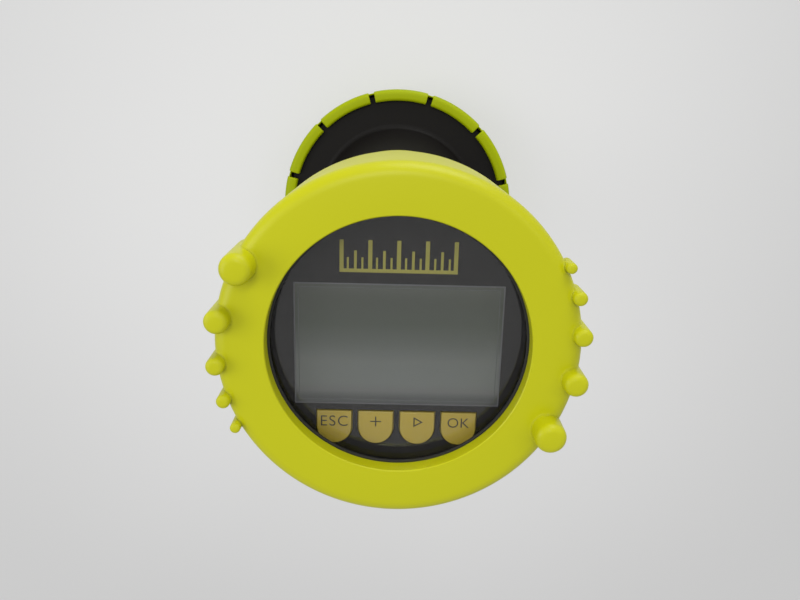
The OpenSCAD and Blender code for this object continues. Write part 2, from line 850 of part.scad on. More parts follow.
module display_case() {
    inner_r = display_r - case_wall;
    ledge_r = inner_r - 2.5;
    color(dark)
        difference() {
            union() {
                ring(inner_r, display_r, z_case, z_board);
                ring(display_r - face_wall, display_r, z_board - 1, z_plate_under);
                bar(display_r - 1, z_deck, z_deck + deck_h);
                ring(ledge_r, display_r - 1, z_board - 3, z_board);
                for (i = [0:3])
                    ring_sector(
                        ring_r + free_gap, display_r - 1, z_case + 1.8, z_ring_top - 2.2 - free_gap,
                        45 + 90 * i, lug_half
                    );
            }
            for (i = key_row)
                translate([i * pin_pitch, pin_y, 0]) bar(pad_r, z_deck - 1, z_deck + pad_h);
        }
}

module contact_pads() {
    color(brass)
        for (i = key_row)
            translate([i * pin_pitch, pin_y, 0]) bar(pad_r - 0.02, z_deck, z_deck + pad_h);
}

module display_board() {
    color(board_green) bar(display_r - case_wall - seat_gap, z_board, z_board + board_h);
}

// A block over the screen's window that is wider by side and reaches up and down beyond it
module screen_block(side, up, down, z0, z1) {
    translate([-screen_w / 2 - side, -screen_drop - screen_h / 2 - down, z0])
        cube([screen_w + 2 * side, screen_h + up + down, z1 - z0]);
}

module screen_backlight() {
    color("white") screen_block(0.8, 2, 0, z_board + board_h, z_plate_under - glass_h);
}

module screen_glass() {
    color([0.42, 0.46, 0.42]) {
        screen_block(2, 3, 0.7, z_plate_under - glass_h, z_plate_under);
        screen_block(-seat_gap, -seat_gap, -seat_gap, z_plate_under - 1, z_display - 0.2);
    }
}

module display_face() {
    color(dark)
        difference() {
            bar(display_r, z_plate_under, z_display);
            screen_block(0, 0, 0, z_plate_under - 1, z_display + 1);
            for (i = key_row)
                key_form(i, free_gap, z_plate_under - 1, z_display + 1);
        }
}

// A key's outline, flat towards the screen and half round below, grown by the gap
module key_form(place, gap, z0, z1) {
    half = key_w / 2;
    translate([place * key_pitch, -key_drop - half, z0])
        linear_extrude(z1 - z0) {
            translate([-half - gap, 0]) square([key_w + 2 * gap, half + gap]);
            circle(r = half + gap);
        }
}

module key(place) {
    flange_top = z_plate_under - free_gap;
    stem_end = z_board + board_h + switch_h + key_travel + 0.1;
    color(amber) {
        key_form(place, 0, flange_top - 1.2, z_display + key_proud);
        key_form(place, 0.5, flange_top - 1.2, flange_top);
        translate([place * key_pitch, -key_drop - key_w / 2, 0]) bar(1.5, stem_end, flange_top - 1);
    }
}

module esc_key() { key(key_row[0]); }

module plus_key() { key(key_row[1]); }

module arrow_key() { key(key_row[2]); }

module ok_key() { key(key_row[3]); }

module key_switches() {
    color(steel)
        for (i = key_row)
            translate([i * key_pitch, -key_drop - key_w / 2, z_board + board_h]) {
                translate([-switch_w / 2, -switch_w / 2, 0]) cube([switch_w, switch_w, switch_h - 0.5]);
                cylinder(r = switch_w / 4, h = switch_h);
            }
}

// ---- Lid ----

// Radius, angle and top of the grip nub number i, counted down from the largest
function nub_size(i) = nub_r * pow(0.76, i);
function nub_angle(i) = nub_start + nub_step * (1 - pow(0.8, i)) / 0.2;
function nub_top(i) = nub_rise * pow(0.66, i);

module nub(i) {
    r = nub_size(i);
    round = r * 0.6;
    drop = nub_drop * pow(0.8, i);
    rotate([0, 0, nub_angle(i)])
        translate([lid_r + nub_reach - r, 0, z_face])
            rotate_extrude()
                polygon(concat(
                    [[0, -drop]],
                    arc([0, r - drop], r, -75, 0),
                    arc([r - round, nub_top(i) - round], round, 0, 80),
                    [[0, nub_top(i) + 0.05 * r]]
                ));
}

module lid_ring() {
    z_seat = z_face - window_depth;
    edge = 0.35;
    color(yellow)
        difference() {
            union() {
                bar(lid_r - lid_round, z_lid + 2, z_face);
                rotate_extrude()
                    polygon(concat(
                        [[seat_bore_r, z_lid], [lid_r - 1.2, z_lid]],
                        arc([lid_r - 1.2, z_lid + 1.2], 1.2, -90, 0),
                        arc([lid_r - lid_round, z_face - lid_round], lid_round, 0, 90),
                        [[seat_bore_r, z_face]]
                    ));
                for (half_turn = [0, 180], i = [0:nub_count - 1])
                    rotate([0, 0, half_turn]) nub(i);
            }
            rotate_extrude()
                polygon([
                    [0, z_lid - 1], [lid_bore_r + 0.8, z_lid - 1], [lid_bore_r + 0.8, z_lid],
                    [lid_bore_r, z_lid + 0.8], [lid_bore_r, z_ledge], [seat_bore_r, z_ledge],
                    [seat_bore_r, z_seat], [window_r, z_seat], [window_r, z_face - edge],
                    [window_r + edge, z_face], [window_r + edge, z_face + nub_rise + 1],
                    [0, z_face + nub_rise + 1]
                ]);
        }
}

module lid_window() {
    color([0.85, 0.88, 0.88, 0.35]) bar(seat_r, z_window, z_gasket);
}

module window_gasket() {
    color(black) ring(window_r - 0.4, seat_r, z_gasket, z_gasket + gasket_h);
}

module window_retainer() {
    color(black) ring(retainer_in_r, seat_r, z_retainer, z_window);
}

module lid_oring() {
    color(black) oring(thread_r - 1.1, lid_oring_d, z_rim + lid_oring_d / 2 + free_gap / 2);
}

protective_cap();
horn_antenna();
antenna_lens();
collar_seal();
feed_tube();
neck_adapter();
neck_oring();
neck_snap_ring();
microwave_module();
housing_body();
electronics_pot();
main_board();
terminal_carrier();
terminal_block();
terminal_screws();
insert_screws();
contact_pins();
gland_body();
gland_face_seal();
gland_seal_insert();
gland_slip_washer();
gland_nut();
plug_oring();
blind_plug();
vent_cap();
ground_clamp();
ground_screw();
display_case();
display_board();
screen_backlight();
screen_glass();
display_face();
contact_pads();
key_switches();
esc_key();
plus_key();
arrow_key();
ok_key();
lid_ring();
lid_window();
window_gasket();
window_retainer();
lid_oring();
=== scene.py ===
# %% [markdown]
# # A radar level transmitter
# The object stands on the clipped cap of its horn antenna, and its round housing carries
# a screwed lid with a window over a display. The measured solids come first and stay as
# they are. This lesson dresses them: each step says what a piece is, how it could be made
# and why it was made this way.
#
# Blender's lengths are in metres. Sizes that come from a drawing, such as a turned
# outline, are written in millimetres, and MM turns them into metres where they are used.

# %% Load the measured solids
import math

import bmesh
import bpy
from mathutils import Matrix, Vector


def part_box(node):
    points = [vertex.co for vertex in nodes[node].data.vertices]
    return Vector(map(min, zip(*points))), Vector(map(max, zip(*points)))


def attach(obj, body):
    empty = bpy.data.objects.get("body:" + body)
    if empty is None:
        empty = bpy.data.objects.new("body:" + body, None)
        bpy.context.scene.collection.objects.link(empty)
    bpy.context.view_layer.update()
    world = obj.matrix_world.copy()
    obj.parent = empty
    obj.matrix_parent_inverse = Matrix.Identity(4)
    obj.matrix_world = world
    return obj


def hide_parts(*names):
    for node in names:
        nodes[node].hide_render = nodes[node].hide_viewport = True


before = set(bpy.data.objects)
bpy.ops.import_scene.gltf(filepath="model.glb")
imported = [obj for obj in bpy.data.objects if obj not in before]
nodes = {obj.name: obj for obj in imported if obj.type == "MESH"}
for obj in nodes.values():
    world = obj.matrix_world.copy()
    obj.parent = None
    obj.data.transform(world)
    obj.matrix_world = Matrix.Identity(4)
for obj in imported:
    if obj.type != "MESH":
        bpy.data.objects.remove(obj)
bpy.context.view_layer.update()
MM = 0.001

# %% [markdown]
# ## Places that everything else is measured from
# A solid's lowest and highest corners give heights and radii without any fitting. The
# window's gasket lies a fixed depth under the lid's face, so it gives the face's height.

# %% Heights of the main levels
WINDOW_DEPTH = 3.7
face_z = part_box("window_gasket")[1].z + WINDOW_DEPTH * MM
display_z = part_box("display_face")[1].z
entry_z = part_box("gland_nut")[0].z / 2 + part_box("gland_nut")[1].z / 2
print("lid face", round(face_z, 5), "display", round(display_z, 5),
      "entries", round(entry_z, 5))

# %% [markdown]
# ## Camera
# The object is seen almost along its axis, from a hand's breadth above the lid and a
# little behind the display's top edge, so the antenna shows above the lid. A constraint
# could aim the camera at the lid, but a plain place and three angles are easier to read.

# %% Camera
SENSOR_WIDTH, FOCAL_LENGTH, NEAREST = 36, 31.5, 5
CAMERA_ASIDE, CAMERA_BACK, CAMERA_RISE = -1.54, 49.61, 140.34
CAMERA_ANGLES = (-15.394, -0.273, 1.387)
camera_data = bpy.data.cameras.new("camera")
camera_data.sensor_width = SENSOR_WIDTH
camera_data.lens = FOCAL_LENGTH
camera_data.clip_start = NEAREST * MM
camera = bpy.data.objects.new("camera", camera_data)
camera.location = (CAMERA_ASIDE * MM, CAMERA_BACK * MM, face_z + CAMERA_RISE * MM)
camera.rotation_euler = [math.radians(angle) for angle in CAMERA_ANGLES]
bpy.context.scene.collection.objects.link(camera)
bpy.context.scene.camera = camera
print("camera", tuple(round(c, 4) for c in camera.location))

# %% [markdown]
# ## Helpers for materials
# Every material starts with the same few lines, and many nodes carry a value from one
# range to another, such as a distance to a tone. Both could be written out each time, but
# two small helpers keep the steps that follow short.


# %% New material and range
def new_material(name):
    """A material with nodes, its node tree and its principled shader."""
    paint = bpy.data.materials.new(name)
    paint.use_nodes = True
    return paint, paint.node_tree, paint.node_tree.nodes["Principled BSDF"]


def map_range(tree, first, last, start, end):
    """A node that carries a value from one range to another."""
    node = tree.nodes.new("ShaderNodeMapRange")
    node.inputs["From Min"].default_value = first
    node.inputs["From Max"].default_value = last
    node.inputs["To Min"].default_value = start
    node.inputs["To Max"].default_value = end
    return node


# %% [markdown]
# ## Floor
# The object stands on a plain pale floor that takes its soft shadow. A studio hides the
# floor's far edge with a curved paper sweep. That could be modelled, but it would stand in
# the way of other views. So the lit floor melts with distance into a plain glow of the
# backdrop's tone. Close round the object the glow is brighter, a painted pool of light
# that fades outwards. Only the camera's rays meet the glow, and it adds no light to the object.
# The floor's distances are in metres.

# %% Floor
FLOOR_SIZE, FLOOR_GREY, FLOOR_ROUGHNESS = 60, 0.66, 0.9
NEAR_POOL_GLOW, FAR_TONE, TONE_STARTS, TONE_ENDS = 0.95, 0.62, 0.04, 0.36
NEAR_SHARE, FAR_SHARE, MELT_STARTS, MELT_ENDS = 0.45, 1.0, 0.30, 1.10
bpy.ops.mesh.primitive_plane_add(size=FLOOR_SIZE, location=(0, 0, 0))
floor = bpy.context.active_object
floor.name = "floor"
floor_paint, floor_tree, floor_shader = new_material("floor_paint")
floor_shader.inputs["Base Color"].default_value = (FLOOR_GREY, FLOOR_GREY, FLOOR_GREY, 1)
floor_shader.inputs["Roughness"].default_value = FLOOR_ROUGHNESS
floor_shader.inputs["Specular IOR Level"].default_value = 0.0
floor_glow = floor_tree.nodes.new("ShaderNodeEmission")
floor_place = floor_tree.nodes.new("ShaderNodeTexCoord")
floor_far = floor_tree.nodes.new("ShaderNodeVectorMath")
floor_far.operation = "LENGTH"
# The glow is brighter near the object: a painted pool of light that fades to the backdrop.
floor_painted_pool = map_range(floor_tree, TONE_STARTS, TONE_ENDS, NEAR_POOL_GLOW, FAR_TONE)
floor_melt = map_range(floor_tree, MELT_STARTS, MELT_ENDS, NEAR_SHARE, FAR_SHARE)
floor_painted_pool.interpolation_type = floor_melt.interpolation_type = "SMOOTHSTEP"
floor_seen = floor_tree.nodes.new("ShaderNodeLightPath")
floor_share = floor_tree.nodes.new("ShaderNodeMath")
floor_share.operation = "MULTIPLY"
floor_mix = floor_tree.nodes.new("ShaderNodeMixShader")
link = floor_tree.links.new
link(floor_place.outputs["Object"], floor_far.inputs[0])
link(floor_far.outputs["Value"], floor_painted_pool.inputs["Value"])
link(floor_far.outputs["Value"], floor_melt.inputs["Value"])
link(floor_painted_pool.outputs["Result"], floor_glow.inputs["Strength"])
link(floor_seen.outputs["Is Camera Ray"], floor_share.inputs[0])
link(floor_melt.outputs["Result"], floor_share.inputs[1])
link(floor_share.outputs["Value"], floor_mix.inputs["Fac"])
link(floor_shader.outputs["BSDF"], floor_mix.inputs[1])
link(floor_glow.outputs["Emission"], floor_mix.inputs[2])
link(floor_mix.outputs["Shader"], floor_tree.nodes["Material Output"].inputs["Surface"])
floor.data.materials.append(floor_paint)
print("floor:", FLOOR_SIZE, "m wide, melted at", MELT_ENDS, "m")

# %% [markdown]
# ## World
# Even light comes from all round, as in a pale room. The world could be one plain grey,
# but then the backdrop and the light on the object would share one strength. Light Path
# parts them: the camera sees the floor's far tone, and the object gets a quieter light.

# %% World
WORLD_LIGHT = 0.58
world = bpy.data.worlds.new("studio")
bpy.context.scene.world = world
world.use_nodes = True
world_tree = world.node_tree
world_sky = world_tree.nodes["Background"]
world_sky.inputs["Color"].default_value = (1, 1, 1, 1)
world_seen = world_tree.nodes.new("ShaderNodeLightPath")
world_tone = map_range(world_tree, 0, 1, WORLD_LIGHT, FAR_TONE)
world_tree.links.new(world_seen.outputs["Is Camera Ray"], world_tone.inputs["Value"])
world_tree.links.new(world_tone.outputs["Result"], world_sky.inputs["Strength"])
bpy.context.scene.view_settings.view_transform = "Standard"
print("world light", WORLD_LIGHT, "backdrop", FAR_TONE)

# %% [markdown]
# ## Lamps
# Four square softboxes model the object. One hangs over the display's top edge, a weak one
# catches the rim, one lights the lid's left side, and a broad low one far behind lights
# the horn and lays a pale veil on the window. Small lamps could do it too, but they draw
# hard shadows on a round object. The camera doesn't see the lamps themselves.


# %% Lamps
def softbox(name, place, aim_z, width, watts):
    """A square lamp at a place, turned to face a height on the object's axis."""
    lamp = bpy.data.lights.new(name, "AREA")
    lamp.size = width
    lamp.energy = watts
    holder = bpy.data.objects.new(name, lamp)
    holder.location = place
    holder.visible_camera = False
    towards = Vector((0, 0, aim_z)) - Vector(place)
    holder.rotation_euler = towards.to_track_quat("-Z", "Y").to_euler()
    bpy.context.scene.collection.objects.link(holder)


softbox("top_softbox", (-0.1, 0.5, 1.35), aim_z=0.25, width=0.35, watts=2.8)
softbox("rim_softbox", (0.7, 0.45, 1.1), aim_z=0.25, width=0.3, watts=0.5)
softbox("side_softbox", (-0.45, 0.05, 0.55), aim_z=0.25, width=0.35, watts=0.95)
softbox("back_softbox", (0.35, 1.45, 0.42), aim_z=0.22, width=0.9, watts=11.5)
print("lamps:", len(bpy.data.lights))

# %% [markdown]
# ## Effects that several finishes share
# Moulded plastic is never quite even: it has a fine grain, broad cloudy patches and edges
# that catch the light because they are rounded. Their rounded normals shade them, and a
# lighter tone laid on them is a painted highlight. Each effect could be drawn again in every
# material, but a shader node group keeps it in one place with its own inputs. The edge
# effect compares the rounded normal with the flat one: where they part, an edge is near.


# %% Group helper
def new_group(name, inputs, outputs):
    """A shader node group with named float inputs and named outputs."""
    group = bpy.data.node_groups.new(name, "ShaderNodeTree")
    for label, value in inputs:
        socket = group.interface.new_socket(label, in_out="INPUT", socket_type="NodeSocketFloat")
        socket.default_value = value
    for label, kind in outputs:
        group.interface.new_socket(label, in_out="OUTPUT", socket_type=kind)
    return group, group.nodes.new("NodeGroupInput"), group.nodes.new("NodeGroupOutput")


# %% Moulded grain: a fine height and a broad cloud
GRAIN_DETAIL, CLOUD_DETAIL = 2.0, 3.0
grain_group, g_in, g_out = new_group(
    "moulded_grain",
    [("Grain Scale", 900.0), ("Cloud Scale", 30.0)],
    [("Height", "NodeSocketFloat"), ("Cloud", "NodeSocketFloat")],
)
g_place = grain_group.nodes.new("ShaderNodeTexCoord")
g_fine = grain_group.nodes.new("ShaderNodeTexNoise")
g_fine.inputs["Detail"].default_value = GRAIN_DETAIL
g_cloud = grain_group.nodes.new("ShaderNodeTexNoise")
g_cloud.inputs["Detail"].default_value = CLOUD_DETAIL
for noise, socket in ((g_fine, "Grain Scale"), (g_cloud, "Cloud Scale")):
    grain_group.links.new(g_place.outputs["Object"], noise.inputs["Vector"])
    grain_group.links.new(g_in.outputs[socket], noise.inputs["Scale"])
grain_group.links.new(g_fine.outputs["Fac"], g_out.inputs["Height"])
grain_group.links.new(g_cloud.outputs["Fac"], g_out.inputs["Cloud"])

# %% Edge highlight mask: how far a point lies on a rounded corner
EDGE_SAMPLES, FLAT_MATCH, ROUND_MATCH = 4, 1.0, 0.8
edge_group, e_in, e_out = new_group(
    "rounded_edge_highlight",
    [("Reach", 0.0006)],
    [("Mask", "NodeSocketFloat"), ("Rounded", "NodeSocketVector")],
)
e_round = edge_group.nodes.new("ShaderNodeBevel")
e_round.samples = EDGE_SAMPLES
e_flat = edge_group.nodes.new("ShaderNodeNewGeometry")
e_dot = edge_group.nodes.new("ShaderNodeVectorMath")
e_dot.operation = "DOT_PRODUCT"
e_range = map_range(edge_group, FLAT_MATCH, ROUND_MATCH, 0, 1)
edge_group.links.new(e_in.outputs["Reach"], e_round.inputs["Radius"])
edge_group.links.new(e_round.outputs["Normal"], e_dot.inputs[0])
edge_group.links.new(e_flat.outputs["Normal"], e_dot.inputs[1])
edge_group.links.new(e_dot.outputs["Value"], e_range.inputs["Value"])
edge_group.links.new(e_range.outputs["Result"], e_out.inputs["Mask"])
edge_group.links.new(e_round.outputs["Normal"], e_out.inputs["Rounded"])
print("groups:", [group.name for group in bpy.data.node_groups])

# %% [markdown]
# ## Finishes
# One helper builds every opaque finish: a base colour that drifts towards a second tone in
# soft clouds, a lighter third tone painted on rounded edges as a highlight, a roughness that
# follows the clouds, and a grain that bumps the rounded normal. A material for each piece
# could be drawn by hand, but with one helper all of them can be read side by side. Numbers
# that are the same all over sit on the shader's own sockets.


# %% Opaque finish
GRAIN_DEPTH = 0.4


def finish(name, tone, cloud_tone, highlight_tone, roughness, *, grain=0.02, grain_scale=900.0,
           cloud_scale=30.0, reach=0.0005, metallic=0.0, spread=0.08, ior=1.5, specular=0.5):
    """A moulded, turned or rubber finish with clouds, grain and rounded edges with a painted
    highlight.
    """
    paint, tree, shader = new_material(name)
    surface = tree.nodes.new("ShaderNodeGroup")
    surface.node_tree = grain_group
    surface.inputs["Grain Scale"].default_value = grain_scale
    surface.inputs["Cloud Scale"].default_value = cloud_scale
    edge = tree.nodes.new("ShaderNodeGroup")
    edge.node_tree = edge_group
    edge.inputs["Reach"].default_value = reach
    clouds = tree.nodes.new("ShaderNodeMix")
    clouds.data_type = "RGBA"
    clouds.inputs["A"].default_value = (*tone, 1)
    clouds.inputs["B"].default_value = (*cloud_tone, 1)
    # Rounded edges get a lighter tone: a painted highlight.
    edge_highlight = tree.nodes.new("ShaderNodeMix")
    edge_highlight.data_type = "RGBA"
    edge_highlight.inputs["B"].default_value = (*highlight_tone, 1)
    rough = map_range(tree, 0, 1, roughness - spread, roughness + spread)
    bump = tree.nodes.new("ShaderNodeBump")
    bump.inputs["Strength"].default_value = grain
    bump.inputs["Distance"].default_value = GRAIN_DEPTH * MM
    link = tree.links.new
    link(surface.outputs["Cloud"], clouds.inputs["Factor"])
    link(clouds.outputs["Result"], edge_highlight.inputs["A"])
    link(edge.outputs["Mask"], edge_highlight.inputs["Factor"])
    link(edge_highlight.outputs["Result"], shader.inputs["Base Color"])
    link(surface.outputs["Cloud"], rough.inputs["Value"])
    link(rough.outputs["Result"], shader.inputs["Roughness"])
    link(surface.outputs["Height"], bump.inputs["Height"])
    link(edge.outputs["Rounded"], bump.inputs["Normal"])
    link(bump.outputs["Normal"], shader.inputs["Normal"])
    shader.inputs["Metallic"].default_value = metallic
    shader.inputs["IOR"].default_value = ior
    shader.inputs["Specular IOR Level"].default_value = specular
    return paint


# %% The object's opaque finishes
lid_plastic = finish("lid_yellow", (0.535, 0.54, 0.003), (0.505, 0.51, 0.003),
                     (0.58, 0.59, 0.01), 0.34, grain=0.012, reach=0.0009, specular=0.3)
housing_plastic = finish("housing_yellow", (0.535, 0.54, 0.003), (0.505, 0.51, 0.003),
                         (0.58, 0.59, 0.01), 0.36, grain=0.015, reach=0.0008, specular=0.35)
cap_plastic = finish("cap_lime", (0.37, 0.45, 0.0), (0.33, 0.39, 0.0),
                     (0.44, 0.53, 0.002), 0.42, grain=0.03, reach=0.0008, specular=0.12)
horn_plastic = finish("horn_black", (0.007, 0.006, 0.0055), (0.009, 0.008, 0.007),
                      (0.022, 0.021, 0.019), 0.5, grain=0.06, grain_scale=1400.0, specular=0.14)
neck_plastic = finish("neck_black", (0.012, 0.012, 0.011), (0.016, 0.016, 0.015),
                      (0.035, 0.034, 0.032), 0.45, grain=0.08, grain_scale=1100.0)
gland_plastic = finish("gland_black", (0.014, 0.014, 0.014), (0.018, 0.018, 0.018),
                       (0.040, 0.040, 0.040), 0.4, grain=0.06, grain_scale=1200.0)
insert_plastic = finish("insert_grey", (0.035, 0.034, 0.036), (0.045, 0.044, 0.046),
                        (0.080, 0.078, 0.080), 0.5, grain=0.06)
rubber = finish("seal_rubber", (0.010, 0.010, 0.010), (0.014, 0.014, 0.014),
                (0.022, 0.022, 0.022), 0.62, grain=0.05, grain_scale=1600.0)
lens_plastic = finish("lens_natural", (0.62, 0.61, 0.57), (0.55, 0.54, 0.50),
                      (0.70, 0.69, 0.65), 0.45, grain=0.03)
washer_plastic = finish("washer_natural", (0.60, 0.59, 0.55), (0.55, 0.54, 0.50),
                        (0.70, 0.69, 0.65), 0.4, grain=0.02)
terminal_plastic = finish("terminal_grey", (0.14, 0.15, 0.14), (0.17, 0.18, 0.17),
                          (0.24, 0.25, 0.24), 0.5, grain=0.04)
backlight_plastic = finish("backlight_white", (0.70, 0.72, 0.70), (0.66, 0.68, 0.66),
                           (0.75, 0.77, 0.75), 0.6, grain=0.02)
board_green = finish("board_green", (0.012, 0.085, 0.035), (0.010, 0.070, 0.030),
                     (0.10, 0.12, 0.05), 0.3, grain=0.02, reach=0.0002)
steel = finish("turned_steel", (0.50, 0.50, 0.51), (0.44, 0.44, 0.45), (0.66, 0.66, 0.67),
               0.3, grain=0.04, metallic=1.0, reach=0.0002, cloud_scale=60.0)
aluminium = finish("milled_aluminium", (0.55, 0.55, 0.57), (0.48, 0.48, 0.50),
                   (0.70, 0.70, 0.72), 0.35, grain=0.05, metallic=1.0, reach=0.0002)
brass = finish("drawn_brass", (0.60, 0.42, 0.17), (0.50, 0.34, 0.13), (0.75, 0.58, 0.30),
               0.28, grain=0.03, metallic=1.0, reach=0.0002)
foil = finish("display_foil", (0.013, 0.012, 0.012), (0.015, 0.014, 0.014),
              (0.025, 0.023, 0.024), 0.05, grain=0.0, reach=0.0001, spread=0.02, ior=1.55)
key_silicone = finish("key_amber", (0.385, 0.29, 0.045), (0.345, 0.255, 0.038),
                      (0.45, 0.35, 0.07), 0.09, grain=0.0, reach=0.0002, spread=0.03, ior=1.6)
gold_print = finish("gold_print", (0.285, 0.265, 0.058), (0.255, 0.235, 0.050),
                    (0.34, 0.31, 0.08), 0.35, grain=0.01, reach=0.0001)
dark_print = finish("dark_print", (0.040, 0.034, 0.016), (0.048, 0.040, 0.020),
                    (0.06, 0.05, 0.03), 0.4, grain=0.01, reach=0.0001)
edge_light = finish("screen_edge", (0.115, 0.118, 0.126), (0.105, 0.108, 0.116),
                    (0.12, 0.12, 0.13), 0.2, grain=0.0, reach=0.0001)
edge_faint = finish("screen_inner_edge", (0.098, 0.104, 0.104), (0.090, 0.096, 0.096),
                    (0.10, 0.11, 0.11), 0.2, grain=0.0, reach=0.0001)
print("finishes:", [paint.name for paint in bpy.data.materials if paint != floor_paint])

# %% [markdown]
# ## Crisp edge round the lid's window
# The lid's outer corners are soft, and the edge round its window is crisp. Two materials
# could share the lid, but the change would show as a line. So the reach of the rounded
# edge, and of the painted highlight on it, grows with the distance from the axis.

# %% Edge reach by radius
CRISP_R, SOFT_R, CRISP_REACH, SOFT_REACH = 31, 34, 0.15, 1.0
lid_tree = lid_plastic.node_tree
lid_edge = next(node for node in lid_tree.nodes
                if node.type == "GROUP" and node.node_tree == edge_group)
lid_place = lid_tree.nodes.new("ShaderNodeTexCoord")
lid_flat = lid_tree.nodes.new("ShaderNodeVectorMath")
lid_flat.operation = "MULTIPLY"
lid_flat.inputs[1].default_value = (1, 1, 0)
lid_radius = lid_tree.nodes.new("ShaderNodeVectorMath")
lid_radius.operation = "LENGTH"
lid_reach = map_range(lid_tree, CRISP_R * MM, SOFT_R * MM, CRISP_REACH * MM, SOFT_REACH * MM)
lid_tree.links.new(lid_place.outputs["Object"], lid_flat.inputs[0])
lid_tree.links.new(lid_flat.outputs["Vector"], lid_radius.inputs[0])
lid_tree.links.new(lid_radius.outputs["Value"], lid_reach.inputs["Value"])
lid_tree.links.new(lid_reach.outputs["Result"], lid_edge.inputs["Reach"])
print("edge reach", CRISP_REACH, "to", SOFT_REACH, "mm")

# %% [markdown]
# ## Window
# The window is a clear pane that bends and mirrors what is seen through it. Glass alone
# would do for that, but it also stops a lamp's direct light, and the display behind it
# would come out dark and speckled. So shadow, diffuse and glossy rays pass the pane
# straight, much as they pass a thin clear sheet, and all other rays meet real glass.

# %% Window glass
PANE_TINT, PANE_IOR = (0.96, 0.97, 0.96, 1), 1.3
window_glass, pane_tree, pane = new_material("window_clear")
pane.inputs["Base Color"].default_value = PANE_TINT
pane.inputs["Roughness"].default_value = 0.0
pane.inputs["IOR"].default_value = PANE_IOR
pane.inputs["Transmission Weight"].default_value = 1.0
pane_rays = pane_tree.nodes.new("ShaderNodeLightPath")
pane_clear = pane_tree.nodes.new("ShaderNodeBsdfTransparent")
pane_bounced = pane_tree.nodes.new("ShaderNodeMath")
pane_bounced.operation = "MAXIMUM"
pane_straight = pane_tree.nodes.new("ShaderNodeMath")
pane_straight.operation = "MAXIMUM"
pane_mix = pane_tree.nodes.new("ShaderNodeMixShader")
link = pane_tree.links.new
link(pane_rays.outputs["Is Diffuse Ray"], pane_bounced.inputs[0])
link(pane_rays.outputs["Is Glossy Ray"], pane_bounced.inputs[1])
link(pane_rays.outputs["Is Shadow Ray"], pane_straight.inputs[0])
link(pane_bounced.outputs["Value"], pane_straight.inputs[1])
link(pane_straight.outputs["Value"], pane_mix.inputs["Fac"])
link(pane.outputs["BSDF"], pane_mix.inputs[1])
link(pane_clear.outputs["BSDF"], pane_mix.inputs[2])
link(pane_mix.outputs["Shader"], pane_tree.nodes["Material Output"].inputs["Surface"])
print("window glass bends light by", PANE_IOR)

# %% [markdown]
# ## Screen
# The screen is a grey-green liquid crystal under glass. Its colour carries painted light:
# the lower half is paler, a painted reflection of the room, and a darker band along its
# lower edge is painted shade. One flat colour would look like card, and an image would
# blur up close. A colour ramp along the screen's height stays smooth at every distance.

# %% Screen
RAMP_FOOT, RAMP_HEAD, SCREEN_ROUGHNESS, SCREEN_IOR = -15.7, 12.5, 0.06, 1.6
screen_paint, lcd_tree, lcd = new_material("liquid_crystal")
lcd.inputs["Roughness"].default_value = SCREEN_ROUGHNESS
lcd.inputs["IOR"].default_value = SCREEN_IOR
lcd_place = lcd_tree.nodes.new("ShaderNodeTexCoord")
lcd_split = lcd_tree.nodes.new("ShaderNodeSeparateXYZ")
lcd_rise = map_range(lcd_tree, RAMP_FOOT * MM, RAMP_HEAD * MM, 0, 1)
lcd_painted_light_ramp = lcd_tree.nodes.new("ShaderNodeValToRGB")
stops = lcd_painted_light_ramp.color_ramp.elements
stops[0].position, stops[0].color = 0.0, (0.076, 0.080, 0.080, 1)
stops[1].position, stops[1].color = 1.0, (0.084, 0.089, 0.079, 1)
# Pale stops low down paint a reflection, and the dark stops at the foot paint shade.
for place, colour in ((0.055, (0.070, 0.073, 0.074)), (0.11, (0.120, 0.124, 0.122)),
                      (0.18, (0.130, 0.139, 0.134)), (0.36, (0.124, 0.133, 0.126)),
                      (0.52, (0.086, 0.094, 0.085)), (0.68, (0.062, 0.070, 0.058)),
                      (0.88, (0.063, 0.069, 0.058))):
    stop = stops.new(place)
    stop.color = (*colour, 1)
link = lcd_tree.links.new
link(lcd_place.outputs["Object"], lcd_split.inputs["Vector"])
link(lcd_split.outputs["Y"], lcd_rise.inputs["Value"])
link(lcd_rise.outputs["Result"], lcd_painted_light_ramp.inputs["Fac"])
link(lcd_painted_light_ramp.outputs["Color"], lcd.inputs["Base Color"])
print("screen ramp stops:", [round(stop.position, 3) for stop in stops])

# %% [markdown]
# ## Give each measured solid its finish
# Every solid gets the finish that its real part has: moulded plastic, rubber, turned or
# milled metal, coated board or glass. The material could be set solid by solid, but a
# table of finishes shows at a glance what is made of what. The solids' shapes stay
# exactly as measured, and only their material slots change.

# %% Node to finish
node_finish = {
    lid_plastic: ["lid_ring"],
    housing_plastic: ["housing_body"],
    cap_plastic: ["protective_cap"],
    horn_plastic: ["horn_antenna"],
    neck_plastic: ["neck_adapter"],
    gland_plastic: ["gland_body", "gland_nut", "blind_plug", "vent_cap"],
    insert_plastic: ["electronics_pot", "terminal_carrier", "display_case", "window_retainer"],
    rubber: ["collar_seal", "neck_oring", "gland_face_seal", "gland_seal_insert",
             "plug_oring", "window_gasket", "lid_oring"],
    lens_plastic: ["antenna_lens"],
    washer_plastic: ["gland_slip_washer"],
    terminal_plastic: ["terminal_block"],
    backlight_plastic: ["screen_backlight"],
    board_green: ["main_board", "display_board"],
    steel: ["neck_snap_ring", "terminal_screws", "insert_screws", "ground_clamp",
            "ground_screw", "key_switches"],
    aluminium: ["microwave_module"],
    brass: ["feed_tube", "contact_pins", "contact_pads"],
    foil: ["display_face"],
    screen_paint: ["screen_glass"],
    key_silicone: ["esc_key", "plus_key", "arrow_key", "ok_key"],
    window_glass: ["lid_window"],
}
for paint, names in node_finish.items():
    for name in names:
        nodes[name].data.materials.clear()
        nodes[name].data.materials.append(paint)
dressed = sum(len(names) for names in node_finish.values())
